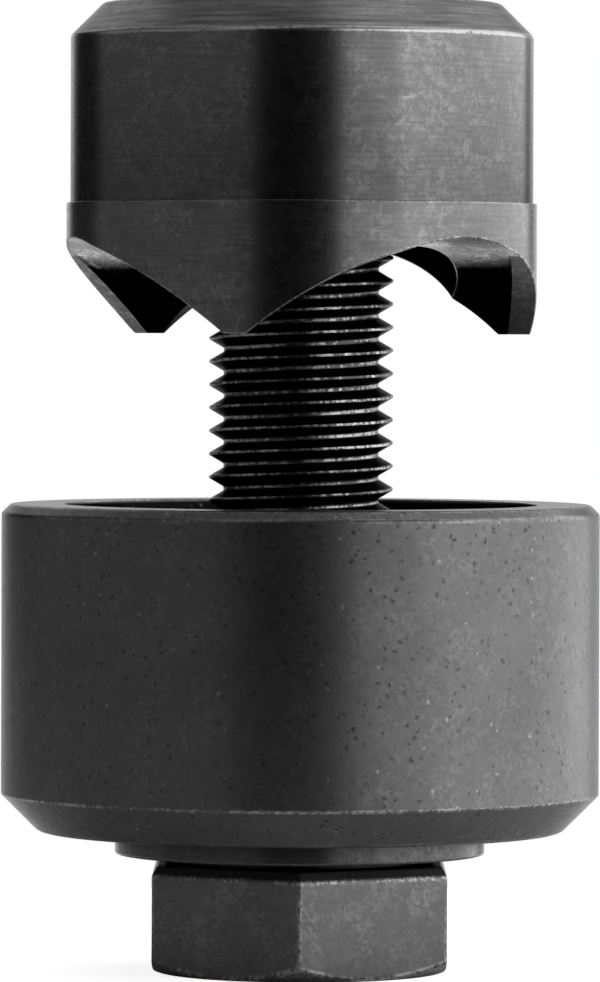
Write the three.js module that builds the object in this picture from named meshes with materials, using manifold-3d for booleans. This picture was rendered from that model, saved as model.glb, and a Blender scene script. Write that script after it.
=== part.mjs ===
// Screw punch for round holes in sheet metal. A punch with three teeth runs on a draw screw,
// a die stands under it, and a ball thrust bearing lies between the die and the screw's head.
// Lengths are in millimetres. Z is up along the screw, and zero at the bottom of the hexagon head,
// on which the tool stands. The front of the photograph looks along +Y, with +X to the right.
// An azimuth is counted from the front (-Y) towards +X.

import * as THREE from 'three';
import { mergeVertices } from 'three/addons/utils/BufferGeometryUtils.js';
import Module from 'manifold-3d';

const wasm = await Module();
wasm.setup();

// The hole that the tool cuts.
const holeDiameter = 30.5;

// Draw screw: hexagon head, washer face, plain shank and thread.
const headAcrossFlats = 19;
const hexagonHeight = 7.15;
const washerFaceHeight = 0.48;
const washerFaceDiameter = 17.4;
const headCornerChamferAngle = 31; // degrees from the end face
const headEndFaceShare = 0.988; // flat circle on the end face, as a share of the width across flats
const headUpperBevelWidth = 0.35; // along the hexagon's edges on the collar's side
const headUpperBevelHeight = 0.65;
const threadDiameter = 11.94;
const threadPitch = 1.5;
const threadDepth = 0.95;
const threadCrestLand = 0.14;
const threadRootLand = 0.3;
const threadShift = 0.4; // height of the first groove, which sets where the ridges stand
const shankDiameter = 11.8;
const shankLength = 12.6;
const screwLength = 55.12; // under the head
const screwEndChamfer = 1;

// Ball thrust bearing between the head and the die.
const raceRingWidth = 5.5;
const raceThickness = 2.2;
const raceEdgeRadius = 0.25;
const ballDiameter = 3;
const ballCount = 12;
const raceGapShare = 0.583; // distance between the races, as a share of the ball
const ballSeatGap = 0.1;
const ballPocketGap = 0.12;
const cageFaceGap = 0.28;
const cageRimWidth = 1; // ring left inside and outside the ball pockets
const shankGap = 0.6; // around the shank, in the races and the die's web

// Die.
const dieRimWidth = 4;
const dieHeight = 21.2;
const dieWebThickness = 4.8;
const collarShowing = 1.47; // part of the bearing that stands out under the die
const cuttingGap = 0.15; // between punch and die, on each side
const recessGap = 0.5; // around the races
const dieTopChamfer = 0.6;
const dieBottomChamfer = 2.4;
const dieMouthChamfer = 0.4;

// Punch.
const tipsAboveDie = 11.05;
const punchHeight = 21.4;
const bandHeight = 8.45; // cutting band, from the tips up
const bandStep = 0.25;
const punchTopBevel = 2.15;
const toothWall = 5.19;
const punchBoreDepth = 9.4; // plain bore, from the tips up to where the thread starts
const threadMouthChamfer = 1.1;
const nutThreadGap = 0.25;
const scallopCount = 3;
const scallopRoofDrop = 2.32; // highest point of a scallop, below the top of the band
const scallopRadiusShare = 0.493; // as a share of the hole
const scallopTilt = 5.4; // degrees, the roof falls towards the middle
const firstScallopAzimuth = 43.9;
const landRoofDrop = 0.19; // highest point of a scallop's land, below the highest point of the scallop
const landRise = 14.1; // degrees, the highest line of a land, from the middle outwards
const landConeAngle = 62.9; // degrees, from the axis of the cone that cuts a land to its side

// Fineness of the curved faces.
const bodySides = 72;
const raceSides = 40;
const screwSides = 40;
const threadSides = 20; // a turn
const scallopSides = 72;
const pocketSides = 20;
const ballDetail = 2;
const grooveSteps = 5;
const edgeSteps = 3;

// Levels and radii that follow from the sizes above.
const headHeight = hexagonHeight + washerFaceHeight;
const screwTop = headHeight + screwLength;
const raceGap = ballDiameter * raceGapShare;
const lowerRaceTop = headHeight + raceThickness;
const ballLevel = lowerRaceTop + raceGap / 2;
const upperRaceBottom = lowerRaceTop + raceGap;
const upperRaceTop = upperRaceBottom + raceThickness;
const dieBottom = headHeight + collarShowing;
const dieTop = dieBottom + dieHeight;
const dieFloor = upperRaceTop + dieWebThickness;
const tipLevel = dieTop + tipsAboveDie;
const bandTop = tipLevel + bandHeight;
const punchTop = tipLevel + punchHeight;
const boreRoof = tipLevel + punchBoreDepth;
const raceBoreRadius = shankDiameter / 2 + shankGap;
const raceRadius = raceBoreRadius + raceRingWidth;
const ballCircleRadius = (raceBoreRadius + raceRadius) / 2;
const toothInnerRadius = holeDiameter / 2 - toothWall;

function toSolid(geometry) {
  const plain = geometry.clone();
  plain.deleteAttribute('normal');
  plain.deleteAttribute('uv');
  const joined = mergeVertices(plain);
  return new wasm.Manifold(new wasm.Mesh({
    numProp: 3,
    vertProperties: joined.attributes.position.array,
    triVerts: new Uint32Array(joined.index.array),
  }));
}

function toGeometry(body) {
  const mesh = body.getMesh();
  const geometry = new THREE.BufferGeometry();
  geometry.setAttribute('position', new THREE.BufferAttribute(mesh.vertProperties, mesh.numProp));
  geometry.setIndex(new THREE.BufferAttribute(mesh.triVerts, 1));
  geometry.computeVertexNormals();
  return geometry;
}

// A body turned about Z from [radius, level] points, given anticlockwise.
// A profile that keeps off the axis closes on itself.
function turned(profile, sides) {
  const points = profile.map(([radius, level]) => new THREE.Vector2(radius, level));
  const offAxis = profile[0][0] > 0;
  if (offAxis) {
    points.push(points[0].clone());
  }
  return toSolid(new THREE.LatheGeometry(points, sides).rotateX(Math.PI / 2));
}

// Points of an arc in a turned profile, from one angle to another in radians.
function arc(centreRadius, centreLevel, radius, from, to, steps) {
  const points = [];
  for (let i = 0; i <= steps; i += 1) {
    const angle = from + (to - from) * i / steps;
    points.push([centreRadius + radius * Math.cos(angle), centreLevel + radius * Math.sin(angle)]);
  }
  return points;
}

// A right-hand thread as a solid rod, with its ends closed to the axis. The ridge and the groove
// climb by one pitch a turn. Every rod starts a whole number of pitches above the same shift, so
// that the screw and the punch match. The ends are rough, so a caller cuts the rod to length.
function threadRod(crestRadius, rootRadius, crestLand, rootLand, bottom, top) {
  const turnPoints = [
    [rootRadius, 0],
    [rootRadius, rootLand],
    [crestRadius, (threadPitch + rootLand - crestLand) / 2],
    [crestRadius, (threadPitch + rootLand + crestLand) / 2],
  ];
  const perTurn = turnPoints.length;
  const spareTurns = 2; // under the length asked for, and one less above it
  const turns = Math.ceil((top - bottom) / threadPitch) + spareTurns + 1;
  const start = (Math.floor(bottom / threadPitch) - spareTurns) * threadPitch + threadShift;
  const positions = [];
  const columns = [];
  for (let side = 0; side < threadSides; side += 1) {
    const angle = 2 * Math.PI * side / threadSides;
    const length = turns * perTurn + (side === 0 ? perTurn : 0);
    const column = [];
    for (let i = 0; i <= length; i += 1) {
      const [radius, level] = turnPoints[i % perTurn];
      const turn = Math.floor(i / perTurn) + side / threadSides;
      column.push(positions.length / 3);
      positions.push(radius * Math.cos(angle), radius * Math.sin(angle), start + level + turn * threadPitch);
    }
    columns.push(column);
  }
  const last = turns * perTurn;
  // The last column meets the first one a turn higher up.
  const neighbour = (side, i) => (side + 1 < threadSides ? columns[side + 1][i] : columns[0][i + perTurn]);
  const faces = [];
  for (let side = 0; side < threadSides; side += 1) {
    for (let i = 0; i < last; i += 1) {
      faces.push(columns[side][i], neighbour(side, i), neighbour(side, i + 1));
      faces.push(columns[side][i], neighbour(side, i + 1), columns[side][i + 1]);
    }
  }
  const bottomCentre = positions.length / 3;
  positions.push(0, 0, start - threadPitch);
  const topCentre = positions.length / 3;
  positions.push(0, 0, start + (turns + spareTurns) * threadPitch);
  for (let side = 0; side < threadSides; side += 1) {
    faces.push(bottomCentre, neighbour(side, 0), columns[side][0]);
    faces.push(topCentre, columns[side][last], neighbour(side, last));
  }
  for (let i = 0; i < perTurn; i += 1) {
    faces.push(bottomCentre, columns[0][i], columns[0][i + 1]);
    faces.push(topCentre, columns[0][last + i + 1], columns[0][last + i]);
  }
  const geometry = new THREE.BufferGeometry();
  geometry.setAttribute('position', new THREE.Float32BufferAttribute(positions, 3));
  geometry.setIndex(faces);
  return toSolid(geometry);
}

function hexagonHead() {
  const inscribed = headAcrossFlats / 2;
  const flatToCorner = 1 / Math.cos(Math.PI / 6);
  const cornerRadius = inscribed * flatToCorner;
  const hexagon = turned([
    [0, 0],
    [cornerRadius, 0],
    [cornerRadius, hexagonHeight - headUpperBevelHeight],
    [cornerRadius - headUpperBevelWidth * flatToCorner, hexagonHeight],
    [0, hexagonHeight],
  ], 6);
  const endFace = inscribed * headEndFaceShare;
  const reach = cornerRadius + threadPitch;
  const fall = (reach - endFace) * Math.tan(THREE.MathUtils.degToRad(headCornerChamferAngle));
  const rounding = turned([
    [0, 0],
    [endFace, 0],
    [reach, fall],
    [reach, headHeight],
    [0, headHeight],
  ], bodySides);
  return hexagon.intersect(rounding);
}

function drawScrew() {
  const shank = turned([
    [0, hexagonHeight / 2],
    [washerFaceDiameter / 2, hexagonHeight / 2],
    [washerFaceDiameter / 2, headHeight],
    [shankDiameter / 2, headHeight],
    [shankDiameter / 2, headHeight + shankLength - threadDepth],
    [shankDiameter / 2 - threadDepth, headHeight + shankLength],
    [0, headHeight + shankLength],
  ], screwSides);
  const crest = threadDiameter / 2;
  const threadStart = headHeight + shankLength - threadPitch;
  const rod = threadRod(crest, crest - threadDepth, threadCrestLand, threadRootLand, threadStart, screwTop);
  const reach = crest + threadPitch;
  const length = turned([
    [0, threadStart],
    [crest - threadDepth, threadStart],
    [reach, threadStart + threadDepth + threadPitch],
    [reach, screwTop - screwEndChamfer - threadPitch],
    [crest - screwEndChamfer, screwTop],
    [0, screwTop],
  ], screwSides);
  return hexagonHead().add(shank).add(rod.intersect(length));
}

// The groove is round, and its arc has the ball's centre.
function race(bottom, top, grooveOnTop) {
  const inner = raceBoreRadius;
  const outer = raceRadius;
  const grooveRadius = ballDiameter / 2 + ballSeatGap;
  const face = grooveOnTop ? top : bottom;
  const half = Math.acos(Math.abs(ballLevel - face) / grooveRadius);
  const circle = ballCircleRadius;
  const down = -Math.PI / 2;
  const up = Math.PI / 2;
  const edge = raceEdgeRadius;
  const lowerEdge = arc(outer - edge, bottom + edge, edge, down, 0, edgeSteps);
  const upperEdge = arc(outer - edge, top - edge, edge, 0, up, edgeSteps);
  if (grooveOnTop) {
    const groove = arc(circle, ballLevel, grooveRadius, down + half, down - half, grooveSteps);
    return turned([[inner, bottom], ...lowerEdge, ...upperEdge, ...groove, [inner, top]], raceSides);
  }
  const groove = arc(circle, ballLevel, grooveRadius, up + half, up - half, grooveSteps);
  return turned([[inner, bottom], ...groove, ...lowerEdge, ...upperEdge, [inner, top]], raceSides);
}

function ballPlace(index) {
  const angle = 2 * Math.PI * index / ballCount;
  return [Math.cos(angle) * ballCircleRadius, Math.sin(angle) * ballCircleRadius];
}

function ballCage() {
  const bottom = lowerRaceTop + cageFaceGap;
  const top = upperRaceBottom - cageFaceGap;
  const pocket = ballDiameter / 2 + ballPocketGap;
  const inner = ballCircleRadius - pocket - cageRimWidth;
  const outer = ballCircleRadius + pocket + cageRimWidth;
  let cage = turned([[inner, bottom], [outer, bottom], [outer, top], [inner, top]], raceSides);
  const cutter = new THREE.CylinderGeometry(pocket, pocket, raceGap, pocketSides).rotateX(Math.PI / 2);
  for (let i = 0; i < ballCount; i += 1) {
    const [x, y] = ballPlace(i);
    cage = cage.subtract(toSolid(cutter.clone().translate(x, y, ballLevel)));
  }
  return cage;
}

function ball(index) {
  const [x, y] = ballPlace(index);
  return toSolid(new THREE.IcosahedronGeometry(ballDiameter / 2, ballDetail).translate(x, y, ballLevel));
}

function die() {
  const cavity = holeDiameter / 2 + cuttingGap;
  const outer = cavity + dieRimWidth;
  const recess = raceRadius + recessGap;
  return turned([
    [raceBoreRadius, upperRaceTop],
    [recess, upperRaceTop],
    [recess, dieBottom + dieMouthChamfer],
    [recess + dieMouthChamfer, dieBottom],
    [outer - dieBottomChamfer, dieBottom],
    [outer, dieBottom + dieBottomChamfer],
    [outer, dieTop - dieTopChamfer],
    [outer - dieTopChamfer, dieTop],
    [cavity, dieTop],
    [cavity, dieFloor],
    [raceBoreRadius, dieFloor],
  ], bodySides);
}

// A scallop is cut by a cylinder that points outwards from the axis and rises by the tilt.
function scallopCutter() {
  const radius = holeDiameter * scallopRadiusShare;
  const tilt = THREE.MathUtils.degToRad(scallopTilt);
  const wall = holeDiameter / 2;
  const roof = bandTop - scallopRoofDrop;
  const length = holeDiameter;
  return new THREE.CylinderGeometry(radius, radius, length, scallopSides)
    .rotateZ(-Math.PI / 2)
    .translate(length / 2, 0, 0)
    .rotateY(-tilt)
    .translate(0, 0, roof - wall * Math.tan(tilt) - radius / Math.cos(tilt));
}

// The land is the strip along a scallop's cutting edge. A wide cone cuts it, with its point on the
// screw's axis, and leaves the teeth pointed. The cone's highest line climbs outwards by the rise.
function landCutter() {
  const coneAngle = THREE.MathUtils.degToRad(landConeAngle);
  const rise = THREE.MathUtils.degToRad(landRise);
  const wall = holeDiameter / 2;
  const point = bandTop - scallopRoofDrop - landRoofDrop - wall * Math.tan(rise);
  const length = wall;
  return new THREE.ConeGeometry(length * Math.tan(coneAngle), length, scallopSides)
    .translate(0, -length / 2, 0)
    .rotateZ(Math.PI / 2)
    .rotateY(coneAngle - rise)
    .translate(0, 0, point);
}

// A cutter is made pointing along +X, and turned here to the middle of its scallop.
function atScallop(cutter, index) {
  const azimuth = firstScallopAzimuth + 360 * index / scallopCount;
  return toSolid(cutter.rotateZ(THREE.MathUtils.degToRad(azimuth - 90)));
}

function punch() {
  const wall = holeDiameter / 2;
  const body = wall - bandStep;
  let result = turned([
    [0, boreRoof],
    [toothInnerRadius, boreRoof],
    [toothInnerRadius, tipLevel],
    [wall, tipLevel],
    [wall, bandTop],
    [body, bandTop],
    [body, punchTop - punchTopBevel],
    [body - punchTopBevel, punchTop],
    [0, punchTop],
  ], bodySides);
  for (let i = 0; i < scallopCount; i += 1) {
    result = result.subtract(atScallop(scallopCutter(), i)).subtract(atScallop(landCutter(), i));
  }
  const crest = threadDiameter / 2 + nutThreadGap;
  const nutThread = threadRod(
    crest,
    crest - threadDepth,
    threadCrestLand,
    threadRootLand,
    boreRoof - threadPitch,
    punchTop + threadPitch,
  );
  const root = crest - threadDepth;
  const chamfer = threadMouthChamfer;
  const mouths = turned([
    [0, boreRoof - chamfer],
    [root + chamfer + chamfer, boreRoof - chamfer],
    [root, boreRoof + chamfer],
    [root, punchTop - chamfer],
    [root + chamfer + chamfer, punchTop + chamfer],
    [0, punchTop + chamfer],
  ], screwSides);
  return result.subtract(nutThread).subtract(mouths);
}

const assembly = new THREE.Group();
assembly.name = 'screw_punch';

function addPiece(name, body, color, roughness, metalness) {
  const material = new THREE.MeshStandardMaterial({ color, roughness, metalness });
  const piece = new THREE.Mesh(toGeometry(body), material);
  piece.name = name;
  assembly.add(piece);
}

addPiece('punch', punch(), 0x2c2d2f, 0.42, 0.85);
addPiece('die', die(), 0x38393b, 0.5, 0.85);
addPiece('draw_screw', drawScrew(), 0x303133, 0.4, 0.85);
addPiece('lower_race', race(headHeight, lowerRaceTop, true), 0x3a3b3d, 0.4, 0.9);
addPiece('upper_race', race(upperRaceBottom, upperRaceTop, false), 0x3a3b3d, 0.4, 0.9);
addPiece('ball_cage', ballCage(), 0x8f8a7d, 0.45, 0.9);
for (let i = 0; i < ballCount; i += 1) {
  addPiece(`ball_${String(i + 1).padStart(2, '0')}`, ball(i), 0xb9bcc0, 0.15, 1);
}

export default assembly;
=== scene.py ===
"""Looks of the screw punch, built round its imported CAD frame.

Lengths are in metres in the CAD's frame: Z up along the screw, the camera looks along +Y.
"""

import math

import bpy
from bpy.props import FloatProperty, FloatVectorProperty, IntProperty, PointerProperty
from mathutils import Matrix, Vector


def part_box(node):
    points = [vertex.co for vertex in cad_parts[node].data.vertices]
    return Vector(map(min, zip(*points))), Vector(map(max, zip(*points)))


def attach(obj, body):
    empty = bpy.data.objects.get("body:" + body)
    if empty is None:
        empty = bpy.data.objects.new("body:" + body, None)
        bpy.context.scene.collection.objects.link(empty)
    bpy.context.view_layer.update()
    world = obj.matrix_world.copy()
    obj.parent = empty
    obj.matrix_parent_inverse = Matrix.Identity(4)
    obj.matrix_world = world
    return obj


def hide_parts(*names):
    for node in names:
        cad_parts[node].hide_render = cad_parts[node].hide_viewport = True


bl_info = {
    "name": "Screw punch looks",
    "version": (1, 0, 0),
    "blender": (4, 5, 0),
    "location": "View3D > Sidebar > Screw punch",
    "description": "Builds the visible pieces of a screw punch and a plain studio round them",
    "category": "Object",
}

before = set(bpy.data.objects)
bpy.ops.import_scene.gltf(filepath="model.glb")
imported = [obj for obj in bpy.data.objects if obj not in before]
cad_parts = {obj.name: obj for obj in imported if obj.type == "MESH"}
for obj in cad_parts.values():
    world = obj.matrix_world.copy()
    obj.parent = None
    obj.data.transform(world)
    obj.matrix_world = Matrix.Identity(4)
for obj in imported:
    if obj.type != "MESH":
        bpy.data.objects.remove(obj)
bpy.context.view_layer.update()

MM = 0.001

# Outer sizes that the frame gives.
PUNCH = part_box("punch")
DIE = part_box("die")
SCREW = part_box("draw_screw")
LOWER_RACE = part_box("lower_race")
UPPER_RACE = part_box("upper_race")
BALLS = sorted(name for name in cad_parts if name.startswith("ball_") and name != "ball_cage")

# The camera, found from the photograph: where the eye is, where it aims, how the picture leans, and how much
# height it takes in at the tool.
CAMERA_DISTANCE = 478 * MM
EYE_LEVEL = 41.85 * MM
CAMERA_ASIDE = -0.05 * MM
AIM_LEVEL = 31.15 * MM
CAMERA_ROLL = math.radians(0.2)
PICTURE_HEIGHT = 63.72 * MM
SENSOR = 36.0

# The floor disc, and how far from the axis the tool's shade keeps the paper from showing in the metal.
FLOOR_RADIUS = 70 * MM
SHADE_RADIUS = 30 * MM
CLEAR_RADIUS = 60 * MM

# The lamps: name, azimuth, elevation, distance, width, height and brightness, as softbox takes them. Between
# the left and the front right lamp nothing shows in a round wall, which gives it its dark band.
LAMPS = (
    ("right_softbox", 98, 8, 0.5, 1.1, 0.7, 1.8),
    ("front_right_softbox", 37, 8, 0.7, 0.43, 0.7, 1.08),
    ("left_softbox", -71, 8, 0.55, 1.2, 0.7, 0.222),
    # These show in the bevels and in what looks upwards.
    ("ceiling_softbox", 0, 90, 0.7, 1.0, 1.0, 0.31),
    ("back_left_softbox", -148, 36, 0.65, 0.5, 0.4, 0.13),
    ("top_right_softbox", 110, 58, 0.65, 0.5, 0.6, 0.8),
    ("back_softbox", 180, 42, 0.6, 0.8, 0.35, 0.6),
    # This one puts the bright line on the rounded edge above the punch's wall.
    ("edge_softbox", -25, 42, 0.65, 0.3, 0.22, 0.6),
)

# Light of the dim room, from all sides.
AMBIENT = 0.007

# Halves of the flats at the thread's root and crest, as shares of the pitch.
ROOT_HALF = 0.1
CREST_HALF = 0.045

# Radius of the pinhole that is left in the middle of the screw's end face.
PINHOLE = 0.001 * MM


def linear(code):
    """A colour written as sRGB hex, as linear light."""
    parts = [int(code[i : i + 2], 16) / 255 for i in (1, 3, 5)]
    return [p / 12.92 if p <= 0.04045 else ((p + 0.055) / 1.055) ** 2.4 for p in parts]


def length(name, description, default):
    return FloatProperty(name=name, description=description, default=default, unit="LENGTH", precision=5)


def angle(name, description, degrees):
    return FloatProperty(name=name, description=description, default=math.radians(degrees), subtype="ANGLE")


def colour(name, description, code):
    return FloatVectorProperty(
        name=name, description=description, default=linear(code), subtype="COLOR", size=3, min=0, max=1
    )


class PunchSizes(bpy.types.PropertyGroup):
    band_step: length("Band step", "How far the cutting band stands out", 0.25 * MM)
    band_height: length("Band height", "From the tips to the top of the band", 8.45 * MM)
    top_bevel: length("Top bevel", "Bevel round the punch's top", 2.15 * MM)
    tooth_wall: length("Tooth wall", "Thickness of the wall that carries the teeth", 5.19 * MM)
    bore_depth: length("Bore depth", "Plain bore, from the tips to the thread", 9.4 * MM)
    scallop_radius: length("Scallop radius", "Radius of the round cut between two teeth", 15.0365 * MM)
    roof_drop: length("Roof drop", "Highest point of a scallop under the top of the band", 2.32 * MM)
    scallop_tilt: angle("Scallop tilt", "Rise of a scallop's roof towards the outside", 5.4)
    first_scallop: angle("First scallop", "From the front to the middle of the first scallop", 43.9)
    land_drop: length("Land drop", "Highest point of a land under that of its scallop", 0.19 * MM)
    land_rise: angle("Land rise", "Rise of a land's highest line towards the outside", 14.1)
    land_cone: angle("Land cone", "From the axis of the cone that cuts a land to its side", 62.9)
    even_depth: length("Even depth", "Upper part of the band, above all cuts", 1.5 * MM)
    hole_chamfer: length("Hole chamfer", "Chamfer at both ends of the threaded hole", 1.2 * MM)
    nut_gap: length("Nut gap", "Gap between the screw's thread and the hole's", 0.2 * MM)
    thread_runout: length("Thread run-out", "Height in which the hole's thread fades out", 1.1 * MM)
    # The next three set the painted shade in the cuts: over a share of each land's width, and black up to a
    # height over the tips, thinning out above it.
    shaded_share: FloatProperty(
        name="Dirty share", description="Mean part of a land's width with dirt on it", default=0.32
    )
    shade_height: length("Dirt height", "Height over the tips up to which the cuts are black", 4.2 * MM)
    shade_fade: length("Dirt fade", "Height in which the dirt thins out", 2.0 * MM)
    land_height: length("Land height", "Height over the tips up to which a land is ground", 5.05 * MM)
    edge: length("Edge", "Rounding of the worn edges", 0.07 * MM)


class ScrewSizes(bpy.types.PropertyGroup):
    across_flats: length("Across flats", "Width of the hexagon head", 19 * MM)
    hexagon_height: length("Hexagon height", "Height of the hexagon head", 7.15 * MM)
    bevel_width: length("Bevel width", "Bevel along the hexagon's upper edges", 0.35 * MM)
    bevel_height: length("Bevel height", "Height of the bevel on the upper edges", 0.65 * MM)
    washer_face: length("Washer face", "Height of the round face on the head", 0.48 * MM)
    washer_radius: length("Washer radius", "Radius of the round face on the head", 8.7 * MM)
    end_radius: length("End radius", "Flat circle on the head's end face", 9.386 * MM)
    corner_chamfer: angle("Corner chamfer", "From the end face to the chamfer across the corners", 31)
    corner_radius: length("Corner radius", "Rounding of the hexagon's corners", 0.3 * MM)
    thread_radius: length("Thread radius", "Radius over the thread's ridges", 5.97 * MM)
    pitch: length("Pitch", "Climb of the thread in one turn", 1.5 * MM)
    thread_depth: length("Thread depth", "Depth of the thread's groove", 0.95 * MM)
    thread_shift: length("Thread shift", "Height of the first groove", 0.4 * MM)
    shank_radius: length("Shank radius", "Radius of the plain shank", 5.9 * MM)
    shank_length: length("Shank length", "Plain shank above the head", 12.6 * MM)
    end_chamfer: length("End chamfer", "Chamfer on the screw's end", 1.05 * MM)
    turn_columns: IntProperty(
        name="Columns", description="Points round one turn of thread", default=96, min=24
    )
    edge: length("Edge", "Rounding of the worn edges", 0.09 * MM)


class DieSizes(bpy.types.PropertyGroup):
    cavity_radius: length("Cavity radius", "Radius of the die's cutting edge", 15.4 * MM)
    web: length("Web", "Thickness of the die's floor", 4.8 * MM)
    recess_radius: length("Recess radius", "Radius of the bearing's recess", 12.5 * MM)
    bore_radius: length("Bore radius", "Bore of the web and the races", 6.5 * MM)
    recess_chamfer: length("Recess chamfer", "Chamfer at the mouth of the recess", 0.4 * MM)
    # Band of the cavity's wall under the rim that is left without painted shade.
    unshaded_depth: length("Clean depth", "Clean part of the cavity's wall under the rim", 0.25 * MM)
    top_chamfer: length("Top chamfer", "Chamfer round the top rim", 0.6 * MM)
    bottom_chamfer: length("Bottom chamfer", "Chamfer round the bottom", 2.4 * MM)
    ball_circle: length("Ball circle", "Radius of the circle of balls", 9.25 * MM)
    groove_radius: length("Groove radius", "Radius of the ball grooves", 1.6 * MM)
    # Painted shade on the collar's wall: it is darkest just under the die, by the seam's height, and fades
    # out down to this height above the collar's foot.
    unshaded_collar: length("Clean collar", "Clean part of the collar's wall above its foot", 0.45 * MM)
    seam: length("Seam", "Height of the dirty seam under the die", 0.1 * MM)
    edge: length("Edge", "Rounding of the worn edges", 0.09 * MM)


class Colours(bpy.types.PropertyGroup):
    punch: colour("Punch", "Black oxide on the turned punch", "#727272")
    land: colour("Lands", "Black oxide on the ground lands of the punch", "#606060")
    cut: colour("Cuts", "Thin black oxide in the milled cuts of the punch", "#929292")
    die: colour("Die", "Black oxide on the die", "#646464")
    # The races are darker than the die, partly as painted shade for the collar under the die's overhang.
    race: colour("Races", "Black oxide on the bearing's races", "#4e4e4e")
    screw: colour("Screw", "Black oxide on the screw's head", "#676767")
    thread: colour("Thread", "Oily black oxide on the screw's thread", "#4a4a4a")
    worn: colour("Worn edge", "Steel showing through on the edges", "#b4b4b4")
    bright: colour("Bright steel", "Ground bearing steel", "#c3c5c8")
    cage: colour("Cage", "Pressed steel sheet", "#a39f95")
    floor: colour("Floor", "Pale studio floor", "#eeeeee")


def settings():
    return bpy.context.scene.screw_punch


def add(tree, kind, inputs=(), **values):
    """One shader node with its settings and links.

    Inputs are listed in the order of the node's sockets, or given by socket name or number. Each is a value,
    a node to link from, or a (node, output) pair where that isn't the node's first output.
    """
    node = tree.nodes.new("ShaderNode" + kind)
    for name, value in values.items():
        setattr(node, name, value)
    for socket, value in inputs.items() if isinstance(inputs, dict) else enumerate(inputs):
        if isinstance(value, bpy.types.Node):
            value = (value, 0)
        if isinstance(value, tuple) and isinstance(value[0], bpy.types.Node):
            tree.links.new(value[0].outputs[value[1]], node.inputs[socket])
        else:
            node.inputs[socket].default_value = value
    return node


def new_material(name):
    """An empty node material, with its tree, its output and coordinates in millimetres."""
    material = bpy.data.materials.new(name)
    material.use_nodes = True
    tree = material.node_tree
    tree.nodes.clear()
    output = add(tree, "OutputMaterial")
    place = add(tree, "TexCoord")
    in_mm = add(tree, "VectorMath", {0: (place, "Object"), "Scale": 1 / MM}, operation="SCALE")
    return material, tree, output, in_mm


def rgba(values, share=1.0):
    return [v * share for v in values] + [1.0]


def rings(tree, in_mm, spacing_mm):
    """Fine lines that run round the axis: noise that changes with height only."""
    parts = add(tree, "SeparateXYZ", [in_mm])
    return add(
        tree,
        "TexNoise",
        {"W": (parts, "Z"), "Scale": 1 / spacing_mm, "Detail": 3.0, "Roughness": 0.7},
        noise_dimensions="1D",
    )


def strokes(tree, in_mm, spacing_mm, stretch=25):
    """Short fine lines round the axis, stretch times longer than they are apart."""
    flat = add(tree, "VectorMath", [in_mm, (1 / stretch, 1 / stretch, 1)], operation="MULTIPLY")
    return add(tree, "TexNoise", {"Vector": flat, "Scale": 1 / spacing_mm, "Detail": 3.0, "Roughness": 0.65})


def spots(tree, in_mm, apart_mm, radius_mm):
    """Ragged spots of up to radius_mm, strewn about apart_mm from each other."""
    ragged = add(tree, "TexNoise", {"Vector": in_mm, "Scale": 1 / (radius_mm * 2)})
    bent = add(tree, "VectorMath", {0: (ragged, "Color"), "Scale": radius_mm * 3}, operation="SCALE")
    where = add(tree, "VectorMath", [in_mm, bent], operation="ADD")
    cells = add(tree, "TexVoronoi", {"Vector": where, "Scale": 1 / apart_mm})
    share = radius_mm / apart_mm
    return add(tree, "MapRange", [cells, 0.4 * share, share, 1.0, 0.0])


def rubbed_mask(tree, in_mm, wear_and_shade, amount):
    """A line of bright specks along the edges that the mesh marks.

    The specks are dense in some stretches and gone in others. A mark of 1 gives this broken line, and a mark
    of 2 one that is whole.
    """
    stretch_mm, speck_mm = 3.0, 0.3
    here = add(tree, "MapRange", [wear_and_shade, 0.1, 1.0])
    stretch = add(tree, "TexNoise", {"Vector": in_mm, "Scale": 1 / stretch_mm})
    specks = add(tree, "TexNoise", {"Vector": in_mm, "Scale": 1 / speck_mm, "Detail": 3.0, "Roughness": 0.6})
    dense = add(tree, "MapRange", [stretch, 0.35, 0.65, -0.1, 0.1])
    level = add(tree, "Math", [specks, dense], operation="ADD")
    steady = add(tree, "MapRange", [wear_and_shade, 1.0, 2.0, 0.0, 0.3])
    level = add(tree, "Math", [level, steady], operation="ADD")
    broken = add(tree, "MapRange", [level, 0.46, 0.62])
    both = add(tree, "Math", [here, broken], operation="MULTIPLY")
    return add(tree, "Math", [both, amount], operation="MULTIPLY")


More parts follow.
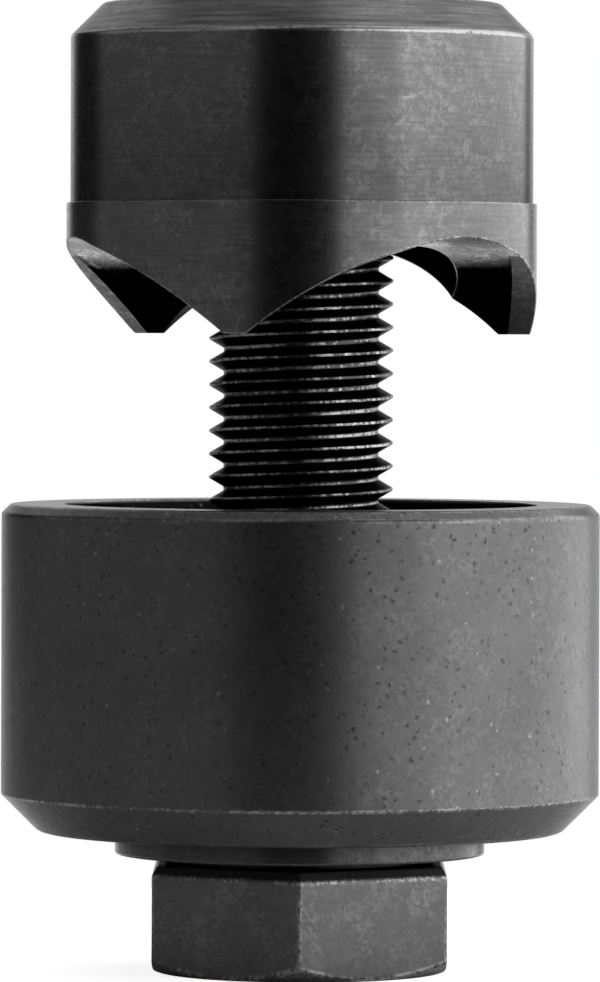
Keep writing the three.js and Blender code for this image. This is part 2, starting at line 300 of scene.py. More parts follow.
def black_oxide(
    name, base, roughness, mottle=0.1, stroke_mm=0.0, streaks=0.12, grain=0.3, pits=0.0, rubbed=0.7
):
    """Steel blackened in hot oxide salts: a thin dark metal skin that keeps the machining under it.

    Mottle is how light its curly patches are, stroke_mm spaces turning marks and streaks is their depth,
    grain is the depth of the satin bumps, and pits how dark the pits are. The mesh's mark for worn edges and
    painted shade is above zero where the edges are rubbed bright, and below zero where the colour is
    darkened, on the thread's flanks and as painted shade in recesses, gaps and low in the cuts, down to -2,
    where it is black and doesn't shine.
    """
    # The grain is finer in steel, and is drawn as wide as it needs to show.
    cloud_mm, patch_mm, curl_mm, grain_mm, field_mm = 5.0, 2.2, 0.5, 0.2, 2.5
    worn = settings().colours.worn
    material, tree, output, in_mm = new_material(name)
    wear_and_shade = (add(tree, "Attribute", attribute_name="wear_and_shade"), "Fac")
    cloud = add(tree, "TexNoise", {"Vector": in_mm, "Scale": 1 / cloud_mm, "Detail": 3.0})
    worms = add(
        tree,
        "TexNoise",
        {"Vector": in_mm, "Scale": 1 / curl_mm, "Detail": 2.5, "Roughness": 0.55, "Distortion": 1.2},
    )
    fine = add(tree, "TexNoise", {"Vector": in_mm, "Scale": 1 / grain_mm, "Roughness": 0.6})
    patches = add(tree, "TexNoise", {"Vector": in_mm, "Scale": 1 / patch_mm})
    tone = add(tree, "MapRange", [cloud, 0.3, 0.7, 0.92, 1.06])
    patchy = add(tree, "MapRange", [patches, 0.42, 0.6, 0.3, 1.0])
    curls = add(tree, "MapRange", [worms, 0.42, 0.68, 0.0, 2.2 * mottle])
    curls = add(tree, "Math", [curls, patchy], operation="MULTIPLY")
    curls = add(tree, "Math", [curls, 1 - 0.4 * mottle], operation="ADD")
    shade = add(tree, "Math", [tone, curls], operation="MULTIPLY")
    height = add(tree, "Math", [fine, grain], operation="MULTIPLY")
    rough = add(tree, "MapRange", [worms, 0.3, 0.7, roughness + 0.05, roughness - 0.04])
    if stroke_mm:
        lines = strokes(tree, in_mm, stroke_mm)
        streak = add(tree, "MapRange", [lines, 0.3, 0.7, 1 - streaks, 1 + streaks])
        shade = add(tree, "Math", [shade, streak], operation="MULTIPLY")
        groove = add(tree, "Math", [lines, 0.6], operation="MULTIPLY")
        height = add(tree, "Math", [height, groove], operation="ADD")
    # Painted shade: a mark below zero darkens the colour, down to near black below -1, and dims the metal's
    # edge reflection through Specular Tint.
    painted_shade = add(tree, "MapRange", [wear_and_shade, 0.0, -1.0, 1.0, 0.12])
    deep_shade = add(tree, "MapRange", [wear_and_shade, -1.0, -2.0, 1.0, 0.1])
    unshaded = add(tree, "Math", [painted_shade, deep_shade], operation="MULTIPLY")
    shade = add(tree, "Math", [shade, unshaded], operation="MULTIPLY")
    skin = add(tree, "VectorMath", {0: base, "Scale": shade}, operation="SCALE")
    # A colour mix has its factor at socket 0, its colours at 6 and 7, and its result at output 2.
    if pits:
        pit = spots(tree, in_mm, apart_mm=0.7, radius_mm=0.19)
        # The pits are faint in some fields and dark in others.
        where = add(tree, "TexNoise", {"Vector": in_mm, "Scale": 1 / field_mm})
        chosen = add(tree, "MapRange", [where, 0.4, 0.6, 0.35, 1.0])
        pit = add(tree, "Math", [pit, chosen], operation="MULTIPLY")
        pit = add(tree, "Math", [pit, pits], operation="MULTIPLY")
        skin = (add(tree, "Mix", {0: pit, 6: skin, 7: rgba(base, 0.4)}, data_type="RGBA"), 2)
        sunk = add(tree, "Math", [pit, -0.6], operation="MULTIPLY")
        height = add(tree, "Math", [height, sunk], operation="ADD")
        fleck = spots(tree, in_mm, apart_mm=1.4, radius_mm=0.15)
        fleck = add(tree, "Math", [fleck, 0.4], operation="MULTIPLY")
        skin = (add(tree, "Mix", {0: fleck, 6: skin, 7: rgba(worn)}, data_type="RGBA"), 2)
    mask = rubbed_mask(tree, in_mm, wear_and_shade, rubbed)
    skin = (add(tree, "Mix", {0: mask, 6: skin, 7: rgba(worn)}, data_type="RGBA"), 2)
    bump = add(tree, "Bump", {"Height": height, "Strength": 0.35, "Distance": 0.02 * MM})
    shader = add(
        tree,
        "BsdfPrincipled",
        {"Base Color": skin, "Roughness": rough, "Metallic": 1.0, "Normal": bump, "Specular Tint": unshaded},
    )
    tree.links.new(shader.outputs[0], output.inputs["Surface"])
    return material


def turned_skin():
    """The punch's wall, turned with a fine feed: a clear sheen in upright bands, crossed by level lines."""
    # The marks are drawn about as wide as a fine feed leaves them.
    return black_oxide(
        "black_oxide_turned",
        settings().colours.punch,
        0.24,
        mottle=0.22,
        stroke_mm=0.17,
        streaks=0.16,
        grain=0.1,
        rubbed=0.85,
    )


def coarse_turned_skin():
    """The punch's top and bevel, turned with a coarser feed: duller, with bold level streaks."""
    return black_oxide(
        "black_oxide_coarse_turned", settings().colours.punch, 0.34, stroke_mm=0.22, streaks=0.5, grain=0.1
    )


def ground_skin():
    """The lands along the punch's cutting edges, ground: dark and dull, with light clouds."""
    return black_oxide("black_oxide_ground_land", settings().colours.land, 0.42, mottle=0.6)


def milled_skin():
    """The round cuts between the teeth, milled and thinly blackened: light and cloudy, with a clear sheen."""
    return black_oxide("black_oxide_milled", settings().colours.cut, 0.25, mottle=0.5, grain=0.3)


def satin_skin():
    """The die, tumbled to a satin: an even soft sheen with bumps, small dark pits and a few bright flecks."""
    return black_oxide(
        "black_oxide_satin", settings().colours.die, 0.34, mottle=0.14, grain=0.8, pits=0.9, rubbed=0.6
    )


def forged_skin():
    """The screw's head, forged and tumbled: dull and a little bumpy, with faint curly patches."""
    return black_oxide(
        "black_oxide_forged", settings().colours.screw, 0.36, mottle=0.2, grain=0.6, rubbed=0.85
    )


def oily_thread_skin():
    """The screw's rolled thread with old oil on it: nearly black, darker still on the flanks, with bright
    lines on crests and roots.
    """
    return black_oxide(
        "black_oxide_oily_thread", settings().colours.thread, 0.34, mottle=0.4, rubbed=1.0
    )


def race_skin():
    """The bearing's races, ground before blackening: smoother than the die and lightly pitted, and darker,
    which is partly painted shade on the collar under the die.
    """
    return black_oxide(
        "black_oxide_race", settings().colours.race, 0.25, mottle=0.2, grain=0.3, pits=0.6, rubbed=0.5
    )


def bare_steel(name, base, roughness, scratch_mm):
    """Bare steel with fine scratches all one way, drawn as coarse as they need to show."""
    cloud_mm = 1.5
    material, tree, output, in_mm = new_material(name)
    lines = rings(tree, in_mm, scratch_mm)
    cloud = add(tree, "TexNoise", {"Vector": in_mm, "Scale": 1 / cloud_mm, "Detail": 3.0})
    tone = add(tree, "MapRange", [cloud, 0.3, 0.7, 0.85, 1.05])
    skin = add(tree, "VectorMath", {0: base, "Scale": tone}, operation="SCALE")
    rough = add(tree, "MapRange", [lines, 0.3, 0.7, roughness - 0.05, roughness + 0.1])
    bump = add(tree, "Bump", {"Height": lines, "Strength": 0.2, "Distance": 0.01 * MM})
    shader = add(
        tree, "BsdfPrincipled", {"Base Color": skin, "Roughness": rough, "Metallic": 1.0, "Normal": bump}
    )
    tree.links.new(shader.outputs[0], output.inputs["Surface"])
    return material


def sheet_skin():
    """The cage, pressed from bare steel sheet: light, dull and slightly warm in colour."""
    return bare_steel("pressed_steel_sheet", settings().colours.cage, 0.35, 0.3)


def ball_skin():
    """The balls, hardened and polished: bright and nearly like mirrors."""
    return bare_steel("polished_bearing_steel", settings().colours.bright, 0.12, 0.5)


def make_object(name, points, wear_and_shade, faces, materials, face_slots=None, sharp_angle=25):
    """A smooth-shaded mesh object with the wear attribute, in the frame of the CAD."""
    mesh = bpy.data.meshes.new(name)
    mesh.from_pydata(points, [], faces)
    marks = mesh.attributes.new("wear_and_shade", "FLOAT", "POINT")
    marks.data.foreach_set("value", wear_and_shade)
    for material in materials:
        mesh.materials.append(material)
    if face_slots:
        mesh.polygons.foreach_set("material_index", face_slots)
    mesh.polygons.foreach_set("use_smooth", [True] * len(mesh.polygons))
    mesh.validate()
    mesh.set_sharp_from_angle(angle=math.radians(sharp_angle))
    mesh.update()
    piece = bpy.data.objects.new(name, mesh)
    bpy.context.collection.objects.link(piece)
    return piece


def settle(piece, nodes, body):
    """The piece takes the place of CAD nodes and moves with a body."""
    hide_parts(*nodes)
    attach(piece, body)


def rounded(corners, edge, steps=4):
    """Profile points (radius, height, mark) from corners (radius, height, rounding share, mark).

    Each corner is rounded by edge times its share. The mark goes to the rounding, and fades out beside it.
    Below zero it is painted shade, and then the faces next to the corner carry it too.
    """
    fade = 0.1 * MM
    out = []
    count = len(corners)
    for i, (r, z, share, mark) in enumerate(corners):
        beside = min(mark, 0.0)
        if share == 0:
            out.append((r, z, beside))
            continue
        r0, z0 = corners[i - 1][:2]
        r1, z1 = corners[(i + 1) % count][:2]
        before, after = math.hypot(r0 - r, z0 - z), math.hypot(r1 - r, z1 - z)
        cut = min(edge * share, before * 0.3, after * 0.3)
        u = ((r0 - r) / before, (z0 - z) / before)
        v = ((r1 - r) / after, (z1 - z) / after)
        side = min(cut + fade, before * 0.45)
        out.append((r + u[0] * side, z + u[1] * side, beside))
        for k in range(steps + 1):
            t = k / steps
            # A quadratic curve between the two cut points, close to an arc for a small rounding.
            a, c = (1 - t) ** 2, t**2
            out.append((r + (u[0] * a + v[0] * c) * cut, z + (u[1] * a + v[1] * c) * cut, mark))
        side = min(cut + fade, after * 0.45)
        out.append((r + v[0] * side, z + v[1] * side, beside))
    return out


def turned(profile, sides=240):
    """Points, wear and faces of a profile turned about Z. The profile closes on itself."""
    points, wear_and_shade, faces = [], [], []
    count = len(profile)
    for side in range(sides):
        angle = 2 * math.pi * side / sides
        for r, z, mark in profile:
            points.append((r * math.cos(angle), r * math.sin(angle), z))
            wear_and_shade.append(mark)
    for side in range(sides):
        here, there = side * count, (side + 1) % sides * count
        for i in range(count):
            j = (i + 1) % count
            faces.append((here + i, there + i, there + j, here + j))
    return points, wear_and_shade, faces


def thread_radius_at(share, crest, depth):
    """Radius of a thread at a share of one pitch, counted from the middle of its groove.

    The groove's bottom is slightly hollow, by a small share of the depth.
    """
    hollow = 0.04
    away = abs((share + 0.5) % 1 - 0.5)
    if away <= ROOT_HALF:
        return crest - depth + depth * hollow * (away / ROOT_HALF) ** 2
    climb = (away - ROOT_HALF) / (0.5 - CREST_HALF - ROOT_HALF)
    return crest - depth * (1 - hollow) * (1 - min(1.0, climb))


def helical_wall(bottom, top, radius_at, columns, rows_a_turn=20):
    """Points, wear and faces of a thread. Its rows climb with the helix, and its ends are level."""
    sizes = settings().screw
    pitch = sizes.pitch
    # Height of a groove's middle in the first column.
    shift = sizes.thread_shift + ROOT_HALF * pitch
    first = math.floor((bottom - shift) / pitch) - 2
    turns = math.ceil((top - bottom) / pitch) + 4
    rows = turns * rows_a_turn
    points, wear_and_shade, faces = [], [], []
    for column in range(columns + 1):
        turn = column / columns
        angle = 2 * math.pi * turn
        for row in range(rows + 1):
            share = row / rows_a_turn
            z = min(max(shift + (first + share + turn) * pitch, bottom), top)
            r, mark = radius_at(share, z)
            points.append((r * math.cos(angle), r * math.sin(angle), z))
            wear_and_shade.append(mark)
    stride = rows + 1
    for column in range(columns):
        for row in range(rows):
            a = column * stride + row
            b = a + stride
            faces.append((a, b, b + 1, a + 1))
    return points, wear_and_shade, faces


def merge_parts(parts):
    """Joins several (points, wear, faces) into one."""
    points, wear_and_shade, faces = [], [], []
    for more_points, more_wear, more_faces in parts:
        offset = len(points)
        points += more_points
        wear_and_shade += more_wear
        faces += [tuple(i + offset for i in face) for face in more_faces]
    return points, wear_and_shade, faces


def grid_faces(columns, rows):
    """Quads of a grid that closes round the axis, with its points column by column."""
    faces = []
    for column in range(columns):
        here, there = column * rows, (column + 1) % columns * rows
        for row in range(rows - 1):
            faces.append((here + row, there + row, there + row + 1, here + row + 1))
    return faces


def scallop_cuts(radius, away):
    """Heights of a scallop's round roof and of its land, at an angle away from the scallop's middle."""
    sizes = settings().punch
    wall = PUNCH[1][0]
    roof = PUNCH[0][2] + sizes.band_height - sizes.roof_drop
    across, along = radius * math.sin(away), radius * math.cos(away)
    tilt, cut = sizes.scallop_tilt, sizes.scallop_radius
    axis = roof - (wall - along) * math.tan(tilt) - cut / math.cos(tilt)
    arch = axis + math.sqrt(cut**2 - across**2) / math.cos(tilt)
    # The land lies on a cone with its point on the screw's axis, which opens outwards and down.
    down = sizes.land_cone - sizes.land_rise
    point = roof - sizes.land_drop - wall * math.tan(sizes.land_rise)
    narrow = math.cos(sizes.land_cone) ** 2
    a = math.sin(down) ** 2 - narrow
    b = along * math.cos(down) * math.sin(down)
    c = (along * math.cos(down)) ** 2 - narrow * radius**2
    return arch, point + (b - math.sqrt(b**2 - a * c)) / a


def underside(radius, away):
    """Height of the punch's underside: the highest of the cuts, or the level of the tips."""
    return max(PUNCH[0][2], *scallop_cuts(radius, away))


def land_radius(away, inner, outer):
    """Where the land ends and the round cut begins, between two radii."""
    for _ in range(24):
        middle = (inner + outer) / 2
        arch, land = scallop_cuts(middle, away)
        if land > arch:
            outer = middle
        else:
            inner = middle
    return outer


def shade_at(height):
    """How much shade is painted into the cuts at a height, from 0 to 1."""
    sizes = settings().punch
    under = PUNCH[0][2] + sizes.shade_height - height
    return min(1.0, max(0.0, under / sizes.shade_fade + 0.5))


def punch_column(azimuth):
    """One column of the punch's skin at an azimuth: (radius, height, mark, slot of the face after it)."""
    sizes, screw = settings().punch, settings().screw
    wall = PUNCH[1][0]
    low, top = PUNCH[0][2], PUNCH[1][2]
    body = wall - sizes.band_step
    inner = wall - sizes.tooth_wall
    band_top = low + sizes.band_height
    bevel = sizes.top_bevel
    edge = sizes.edge
    bore_roof = low + sizes.bore_depth
    chamfer = sizes.hole_chamfer
    # The ridges of the hole's thread are a surface of their own, and stand out of this plain wall.
    hole = screw.thread_radius - screw.thread_depth * 0.5
    # Marks below zero paint shade: the bore and the inside of the teeth black, the hole's chamfers and the
    # crease on top of the band darker.
    upper = [
        (inner, bore_roof, 1, -2.0),
        (hole + chamfer, bore_roof, 1, -0.8),
        (hole, bore_roof + chamfer, 0, -0.8),
        (hole, top - chamfer, 0, 0),
        (hole + chamfer, top, 1, 0.7),
        (body - bevel, top, 3, 0.6),
        (body, top - bevel, 2, 1.6),
        (body, band_top, 0, -0.4),
        (wall, band_top, 1, 0.45),
        (wall, band_top - sizes.even_depth, 0, 0),
    ]
    # The part above the cut is the same at every azimuth.
    column = [
        (r, z, mark, 3 if z > top - bevel and r > body - bevel else 0)
        for r, z, mark in rounded([(inner, band_top - sizes.even_depth, 0, -2.0), *upper], edge)
    ]
    third = 2 * math.pi / 3
    away = (azimuth - sizes.first_scallop + third / 2) % third - third / 2
    outer_end = underside(wall, away)
    first, last = band_top - sizes.even_depth, outer_end + edge
    steps = 6
    for k in range(1, steps):
        column.append((wall, first + (last - first) * k / steps, 0.0, 0))
    column += [(wall, outer_end + 2 * edge, 0.0, 0), (wall, last, 1.3, 1)]
    column.append((wall - 0.3 * edge, outer_end + 0.3 * edge, 1.3, 1))
    land = min(land_radius(away, inner + 2 * edge, wall), wall - 3 * edge)
    # Shade is painted low down in the cuts, and along the inner border of the lands, wider at a scallop's
    # left end.
    painted_shade = sizes.shaded_share * (1.4 if away < 0 else 0.6)
    start, unshaded = wall - 2 * edge, land + (wall - land) * painted_shade
    cut_end = inner + 2 * edge
    radii = [(wall - edge, 1.3, False)]
    radii += [(start + (unshaded - start) * k / 4, 0.0, False) for k in range(5)]
    radii += [(unshaded + (land - unshaded) * k / 2, 0.0, True) for k in (0.2, 1, 2)]
    radii += [(land + (cut_end - land) * k / 13, 0.0, True) for k in range(1, 14)]
    for radius, mark, in_shade in radii:
        z = underside(radius, away)
        if in_shade:
            mark = -1.8 * shade_at(z)
        ground = radius > land and z < low + sizes.land_height
        column.append((radius, z, mark, 1 if ground else 2))
    # A tip's inner edge is rubbed bright where no shade is painted on it, and the wall above it is painted
    # black with shade.
    inner_end = underside(inner, away)
    mark = 0.5 - 1.2 * shade_at(inner_end)
    column += [(inner + edge, underside(inner + edge, away), mark, 2)]
    column += [(inner, inner_end + edge, mark, 0), (inner, inner_end + 1.5 * edge, -2.0, 0)]
    return column


def punch_surface():
    """Points, wear, faces and face slots of the whole punch."""
    columns = 720
    points, wear_and_shade, slots_of_columns = [], [], []
    for i in range(columns):
        # Counted from a scallop's middle, so that columns lie on the ridges of the teeth.
        azimuth = settings().punch.first_scallop + 2 * math.pi * i / columns
        angle = azimuth - math.pi / 2
        column = punch_column(azimuth)
        for r, z, mark, _ in column:
            points.append((r * math.cos(angle), r * math.sin(angle), z))
            wear_and_shade.append(mark)
        slots_of_columns.append([slot for _, _, _, slot in column])
    rows = len(slots_of_columns[0])
    faces, slots = [], []
    for i in range(columns):
        here, there = i * rows, (i + 1) % columns * rows
        for row in range(rows):
            after = (row + 1) % rows
            faces.append((here + row, here + after, there + after, there + row))
            slots.append(slots_of_columns[i][row])
    return points, wear_and_shade, faces, slots


class SCREWPUNCH_OT_punch(bpy.types.Operator):
    """Build the toothed punch"""

    bl_idname = "screw_punch.punch"
    bl_label = "Punch"

    def execute(self, context):
        sizes, screw = settings().punch, settings().screw
        # In the order of the slots that punch_column gives the faces.
        skins = [turned_skin(), ground_skin(), milled_skin(), coarse_turned_skin()]
        points, wear_and_shade, faces, slots = punch_surface()
        low, top = PUNCH[0][2], PUNCH[1][2]
        crest = screw.thread_radius + sizes.nut_gap
        mouth = low + sizes.bore_depth
        runout = sizes.thread_runout

        # The hole's thread is marked a little below zero: painted shade inside the hole.
        def nut_radius(share, z):
            plain = max(mouth + runout - z, z - top + runout, 0.0)
            r = thread_radius_at(share, crest, screw.thread_depth)
            return max(r, crest - screw.thread_depth + plain), -0.6

        nut_points, nut_wear, nut_faces = helical_wall(mouth, top, nut_radius, screw.turn_columns)
        # The hole's thread faces the axis.
        nut = (nut_points, nut_wear, [face[::-1] for face in nut_faces])
        slots += [0] * len(nut_faces)
        points, wear_and_shade, faces = merge_parts([(points, wear_and_shade, faces), nut])
        piece = make_object("punch_skin", points, wear_and_shade, faces, skins, slots, sharp_angle=17)
        settle(piece, ["punch"], "punch")
        return {"FINISHED"}


class SCREWPUNCH_OT_die(bpy.types.Operator):
    """Build the die"""

    bl_idname = "screw_punch.die"
    bl_label = "Die"

    def execute(self, context):
        sizes = settings().die
        outer, low, top = DIE[1][0], DIE[0][2], DIE[1][2]
        recess_roof = UPPER_RACE[1][2]
        # Marks below zero paint shade: in the recess under the die, on the bore and web, and on the cavity's
        # wall below a thin band under the rim.
        corners = [
            (sizes.bore_radius, recess_roof, 1, -0.8),
            (sizes.recess_radius, recess_roof, 0.5, -0.8),
            (sizes.recess_radius, low + sizes.recess_chamfer, 1, -0.6),
            (sizes.recess_radius + sizes.recess_chamfer, low, 1, -0.3),
            (outer - sizes.bottom_chamfer, low, 4, 0.4),
            (outer, low + sizes.bottom_chamfer, 1, 1),
            (outer, top - sizes.top_chamfer, 1.5, 0.5),
            (outer - sizes.top_chamfer, top, 1.5, 0.7),
            (sizes.cavity_radius, top, 1, 0.7),
            (sizes.cavity_radius, top - sizes.unshaded_depth, 0, -1.2),
            (sizes.cavity_radius, recess_roof + sizes.web, 0.5, -1.2),
            (sizes.bore_radius, recess_roof + sizes.web, 1, -0.5),
        ]
        points, wear_and_shade, faces = turned(rounded(corners, sizes.edge))
        piece = make_object("die_skin", points, wear_and_shade, faces, [satin_skin()])
        settle(piece, ["die"], "die")
        return {"FINISHED"}


def hexagon_radius(degrees):
    """Radius of the rounded hexagon at an angle from the middle of a flat, -30 to 30."""
    sizes = settings().screw
    half, corner = sizes.across_flats / 2, sizes.corner_radius
    angle = math.radians(abs(degrees))
    if half * math.tan(angle) <= (half - corner) * math.tan(math.pi / 6):
        return half / math.cos(angle)
    centre = (half - corner) / math.cos(math.pi / 6)
    away = math.pi / 6 - angle
    return centre * math.cos(away) + math.sqrt(corner**2 - (centre * math.sin(away)) ** 2)


def head_surface():
    """Points, wear and faces of the hexagon head, washer face and plain shank."""
    sizes = settings().screw
    half, height = sizes.across_flats / 2, sizes.hexagon_height
    end, slope = sizes.end_radius, math.tan(sizes.corner_chamfer)
    edge = sizes.edge
    shank_top = height + sizes.washer_face + sizes.shank_length
    # Degrees from the middle of a flat: a column for each, and eight in the last degree before a corner.
    steps = [k / 8 for k in range(8)]
    within = [-30 + s for s in steps] + list(range(-29, 29)) + [29 + s for s in steps]
    points, wear_and_shade = [], []
    columns = 0
    rows = 0
    for flat in range(6):
        for degrees in within:
            angle = math.radians(flat * 60 + degrees)
            r = hexagon_radius(degrees)
            cone = (r - end) * slope
            near = min(edge, (r - end) / 4)
            # How much of the upright corner's wear this column has.
            corner = max(0.0, 1 - (30 - abs(degrees)) / 1.2)
            lean = sizes.bevel_width * r / half
            slant = math.hypot(lean, sizes.bevel_height)
            in_edge, up_edge = edge * lean / slant, edge * sizes.bevel_height / slant
            bevel = height - sizes.bevel_height
            # The head's top face next to the washer face, the washer face and the shank's foot are marked
            # below zero: painted shade in the gap under the collar.
            column = [
                (PINHOLE, 0, 0),
                (end - 3 * edge, 0, 0),
                (end - edge, 0, 1),
                (end + near, near * slope, 1),
                (end + 2 * near, 2 * near * slope, 0),
                (r - near, cone - near * slope, 1),
                (r, cone + edge, 1),
                (r, cone + 4 * edge, corner),
                (r, bevel - 3 * edge, corner),
                (r, bevel - edge, 1),
                (r - in_edge, bevel + up_edge, 0.9),
                (r - 2 * in_edge, bevel + 2 * up_edge, 0.1),
                (r - lean + in_edge, height - up_edge, 0.1),
                (r - lean - edge, height, -0.6),
                (sizes.washer_radius + edge, height, -1),
                (sizes.washer_radius, height + edge, -1),
                (sizes.washer_radius, height + sizes.washer_face - edge, -1),
                (sizes.washer_radius - edge, height + sizes.washer_face, -1),
                (sizes.shank_radius + edge, height + sizes.washer_face, -0.5),
                (sizes.shank_radius, height + sizes.washer_face + edge, -0.5),
                (sizes.shank_radius, shank_top - sizes.thread_depth, 0),
                (sizes.shank_radius - sizes.thread_depth, shank_top, 0),
            ]
            points += [(rad * math.cos(angle), rad * math.sin(angle), z) for rad, z, _ in column]
            wear_and_shade += [mark for _, _, mark in column]
            rows = len(column)
            columns += 1
    return points, wear_and_shade, grid_faces(columns, rows)


class SCREWPUNCH_OT_screw(bpy.types.Operator):
    """Build the draw screw"""

    bl_idname = "screw_punch.screw"
    bl_label = "Draw screw"

    def execute(self, context):
        sizes = settings().screw
        skins = [forged_skin(), oily_thread_skin()]
        top = SCREW[1][2]
        # The thread starts a little below the shank's end.
        start = sizes.hexagon_height + sizes.washer_face + sizes.shank_length - 0.7 * sizes.pitch
        end_radius = sizes.thread_radius - sizes.end_chamfer

        def screw_radius(share, z):
            r = thread_radius_at(share, sizes.thread_radius, sizes.thread_depth)
            away = abs((share + 0.5) % 1 - 0.5)
            # Crests and roots are rubbed bright, and the flanks between them are darkened.
            mark = 1.0 if away > 0.44 else (0.9 if away < 0.06 else -0.75)
            return min(r, end_radius + (top - z)), mark

        sides = sizes.turn_columns
        head = head_surface()
        wall = helical_wall(start, top, screw_radius, sides)
        cap = [(0.0, 0.0, top)]
        for i in range(sides):
            angle = 2 * math.pi * i / sides
            cap.append((end_radius * math.cos(angle), end_radius * math.sin(angle), top))
        cap_faces = [(0, 1 + i, 1 + (i + 1) % sides) for i in range(sides)]
        points, wear_and_shade, faces = merge_parts([head, wall, (cap, [0.0] * len(cap), cap_faces)])
        slots = [0] * len(head[2]) + [1] * (len(faces) - len(head[2]))
        piece = make_object("draw_screw_skin", points, wear_and_shade, faces, skins, slots)
        settle(piece, ["draw_screw"], "screw")
        return {"FINISHED"}


def race_profile(low, high, groove_on_top):
    """Profile of a bearing race between two heights, with half of a ball's groove in one of its faces."""
    sizes = settings().die
    inner, outer = sizes.bore_radius, LOWER_RACE[1][0]
    face = high if groove_on_top else low
    level = (LOWER_RACE[1][2] + UPPER_RACE[0][2]) / 2
    half = math.acos(abs(level - face) / sizes.groove_radius)
    middle = -math.pi / 2 if groove_on_top else math.pi / 2
    arc = []
    for k in range(17):
        angle = middle + half - 2 * half * k / 16
        r = sizes.ball_circle + sizes.groove_radius * math.cos(angle)
        arc.append((r, level + sizes.groove_radius * math.sin(angle), 0, 0))
    if groove_on_top:
        # Shade is painted on the collar's wall just under the die's overhang, and fades out above its foot.
        painted_shade = (outer, DIE[0][2] - sizes.seam, 0, -0.5)
        unshaded = (outer, low + sizes.unshaded_collar, 0, 0)
        corners = [(inner, low, 2, 0), (outer, low, 3, 0.3), unshaded, painted_shade, (outer, high, 3, 0), *arc]
        corners.append((inner, high, 2, 0))
    else:
        corners = [(inner, low, 2, 0), *arc, (outer, low, 3, 0), (outer, high, 3, 0), (inner, high, 2, 0)]
    return rounded(corners, sizes.edge)


class SCREWPUNCH_OT_bearing(bpy.types.Operator):
    """Build the bearing: two races, the cage and its balls"""

    bl_idname = "screw_punch.bearing"
    bl_label = "Bearing"

    def execute(self, context):
        blackened = race_skin()
        for node, box, on_top, body in (
            ("lower_race", LOWER_RACE, True, "screw"),
            ("upper_race", UPPER_RACE, False, "die"),
        ):
            points, wear_and_shade, faces = turned(race_profile(box[0][2], box[1][2], on_top))
            piece = make_object(node + "_skin", points, wear_and_shade, faces, [blackened])
            settle(piece, [node], body)
        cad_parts["ball_cage"].data.materials.clear()
        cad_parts["ball_cage"].data.materials.append(sheet_skin())
        polished = ball_skin()
        for name in BALLS:
            low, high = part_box(name)
            centre = [(a + b) / 2 for a, b in zip(low, high)]
            points, wear_and_shade, faces = ball_surface(centre, (high[2] - low[2]) / 2)
            piece = make_object(name + "_skin", points, wear_and_shade, faces, [polished], sharp_angle=80)
            settle(piece, [name], "cage")
        return {"FINISHED"}


def ball_surface(centre, radius, around=32, up=16):
    """Points, wear and faces of a ball, with a pinhole of a thousandth of its radius at each pole."""
    pinhole = 1e-3
    points, wear_and_shade = [], []
    for i in range(around):
        angle = 2 * math.pi * i / around
        for k in range(up + 1):
            lift = math.pi * (k / up - 0.5)
            flat = radius * max(math.cos(lift), pinhole)
            x, y = centre[0] + flat * math.cos(angle), centre[1] + flat * math.sin(angle)
            points.append((x, y, centre[2] + radius * math.sin(lift)))
            wear_and_shade.append(0.0)
    return points, wear_and_shade, grid_faces(around, up + 1)


def softbox(name, azimuth, elevation, distance, width, height, brightness):
    """A soft rectangular lamp, aimed at the tool. Azimuth 0 is at the camera and 90 at its right.

    Brightness is that of the lamp's face: 1 is white paper in full light.
    """
    data = bpy.data.lights.new(name, "AREA")
    data.shape = "RECTANGLE"
    data.size, data.size_y = width, height
    data.energy = brightness * math.pi * width * height
    lamp = bpy.data.objects.new(name, data)
    bpy.context.collection.objects.link(lamp)
    turn, lift = math.radians(azimuth), math.radians(elevation)
    away = Vector((math.sin(turn) * math.cos(lift), -math.cos(turn) * math.cos(lift), math.sin(lift)))
    lamp.location = Vector((0, 0, AIM_LEVEL)) + away * distance
    lamp.rotation_euler = (-away).to_track_quat("-Z", "Y").to_euler()
    return lamp


def studio_white(name):
    """Matt white paper: a pale surface that keeps shadows, and reads as the white background.

    Metal shows that white too, behind the tool and at its right, but not the paper in the tool's shade.
    """
    cloud_mm, glow = 40.0, 0.85
    material, tree, output, in_mm = new_material(name)
    cloud = add(tree, "TexNoise", {"Vector": in_mm, "Scale": 1 / cloud_mm})
    tone = add(tree, "MapRange", [cloud, 0.3, 0.7, 0.99, 1.0])
    shaded = add(tree, "VectorMath", {0: settings().colours.floor, "Scale": tone}, operation="SCALE")
    paper = add(tree, "BsdfDiffuse", {"Color": shaded})
    away = add(tree, "VectorMath", [in_mm], operation="LENGTH")
    clear = add(tree, "MapRange", [(away, "Value"), SHADE_RADIUS / MM, CLEAR_RADIUS / MM])
    parts = add(tree, "SeparateXYZ", [in_mm])
    # It fades in over these distances in mm from the axis, to the back and to the right.
    behind = add(tree, "MapRange", [(parts, "Y"), -10.0, 30.0])
    aside = add(tree, "MapRange", [(parts, "X"), 20.0, 50.0])
    either = add(tree, "Math", [behind, aside], operation="MAXIMUM")
    clear = add(tree, "Math", [clear, either], operation="MULTIPLY")
    seen = add(tree, "LightPath")
    mirrored = add(tree, "Math", [(seen, "Is Glossy Ray"), clear], operation="MULTIPLY")
    watched = add(tree, "Math", [(seen, "Is Camera Ray"), mirrored], operation="MAXIMUM")
    strength = add(tree, "Math", [watched, glow], operation="MULTIPLY")
    light = add(tree, "Emission", {"Color": [1, 1, 1, 1], "Strength": strength})
    both = add(tree, "AddShader", [paper, light])
    tree.links.new(both.outputs[0], output.inputs["Surface"])
    return material


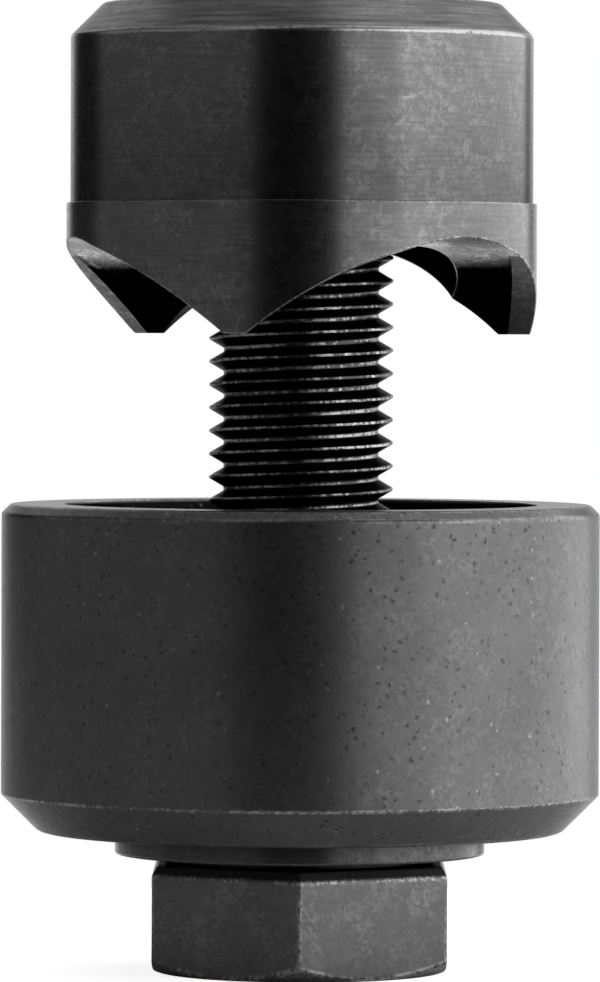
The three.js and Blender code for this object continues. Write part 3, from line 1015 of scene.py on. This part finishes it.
def white_backdrop(name):
    """A dim room with a white wall and floor behind.

    The camera sees the wall all round. Metal sees it only where it stands, and the floor half as bright.
    """
    world = bpy.data.worlds.new(name)
    world.use_nodes = True
    tree = world.node_tree
    tree.nodes.clear()
    seen = add(tree, "LightPath")
    direction = add(tree, "TexCoord")
    parts = add(tree, "SeparateXYZ", [(direction, "Generated")])
    wall = add(tree, "MapRange", [(parts, "Y"), 0.9, 0.95])
    below = add(tree, "MapRange", [(parts, "Z"), -0.01, -0.09, 0.0, 0.5])
    back_half = add(tree, "MapRange", [(parts, "Y"), 0.3, 0.8])
    floor = add(tree, "Math", [below, back_half], operation="MULTIPLY")
    behind = add(tree, "Math", [wall, floor], operation="MAXIMUM")
    mirrored = add(tree, "Math", [(seen, "Is Glossy Ray"), behind], operation="MULTIPLY")
    watched = add(tree, "Math", [(seen, "Is Camera Ray"), mirrored], operation="MAXIMUM")
    strength = add(tree, "Math", [watched, AMBIENT], operation="MAXIMUM")
    sky = add(tree, "Background", {"Color": [1, 1, 1, 1], "Strength": strength})
    output = add(tree, "OutputWorld")
    tree.links.new(sky.outputs[0], output.inputs["Surface"])
    return world


def disc(name, radius, material, sides=96):
    """A flat disc round the axis, at the level on which the tool stands."""
    angles = [2 * math.pi * i / sides for i in range(sides)]
    rim = [(radius * math.cos(angle), radius * math.sin(angle), 0) for angle in angles]
    mesh = bpy.data.meshes.new(name)
    mesh.from_pydata(rim, [], [tuple(range(sides))])
    mesh.materials.append(material)
    piece = bpy.data.objects.new(name, mesh)
    bpy.context.collection.objects.link(piece)
    return piece


def camera_at_eye():
    """The camera, at the height of the photographer's eye and aimed at the middle of the tool."""
    data = bpy.data.cameras.new("camera")
    data.sensor_width = SENSOR
    data.lens = SENSOR * CAMERA_DISTANCE / PICTURE_HEIGHT
    data.clip_start = 10 * MM
    camera = bpy.data.objects.new("camera", data)
    bpy.context.collection.objects.link(camera)
    pitch = math.atan2(EYE_LEVEL - AIM_LEVEL, CAMERA_DISTANCE)
    turn = Matrix.Rotation(math.pi / 2 - pitch, 4, "X") @ Matrix.Rotation(CAMERA_ROLL, 4, "Z")
    camera.matrix_world = Matrix.Translation((CAMERA_ASIDE, -CAMERA_DISTANCE, EYE_LEVEL)) @ turn
    return camera


class SCREWPUNCH_OT_stage(bpy.types.Operator):
    """Build the floor, the lamps, the world and the camera"""

    bl_idname = "screw_punch.stage"
    bl_label = "Stage"

    def execute(self, context):
        scene = context.scene
        floor = disc("floor", FLOOR_RADIUS, studio_white("matt_white_paper"))
        for lamp in LAMPS:
            softbox(*lamp)
        scene.world = white_backdrop("white_backdrop")
        scene.camera = camera_at_eye()
        scene.view_settings.view_transform = "Standard"
        return {"FINISHED"}


class ScrewPunchSettings(bpy.types.PropertyGroup):
    punch: PointerProperty(type=PunchSizes)
    screw: PointerProperty(type=ScrewSizes)
    die: PointerProperty(type=DieSizes)
    colours: PointerProperty(type=Colours)


OPERATORS = (
    SCREWPUNCH_OT_punch,
    SCREWPUNCH_OT_die,
    SCREWPUNCH_OT_screw,
    SCREWPUNCH_OT_bearing,
    SCREWPUNCH_OT_stage,
)


class SCREWPUNCH_PT_panel(bpy.types.Panel):
    """Lists the pieces that can be built"""

    bl_idname = "SCREWPUNCH_PT_panel"
    bl_label = "Screw punch"
    bl_space_type = "VIEW_3D"
    bl_region_type = "UI"
    bl_category = "Screw punch"

    def draw(self, context):
        for operator in OPERATORS:
            self.layout.operator(operator.bl_idname)
        for group in ("punch", "screw", "die", "colours"):
            values = getattr(settings(), group)
            box = self.layout.box()
            for name in values.__annotations__:
                box.prop(values, name)


CLASSES = (PunchSizes, ScrewSizes, DieSizes, Colours, ScrewPunchSettings, *OPERATORS, SCREWPUNCH_PT_panel)


def register():
    for item in CLASSES:
        bpy.utils.register_class(item)
    bpy.types.Scene.screw_punch = PointerProperty(type=ScrewPunchSettings)


def unregister():
    del bpy.types.Scene.screw_punch
    for item in reversed(CLASSES):
        bpy.utils.unregister_class(item)


def main():
    register()
    for name in ("punch", "die", "screw", "bearing", "stage"):
        getattr(bpy.ops.screw_punch, name)()


if __name__ == "__main__":
    main()
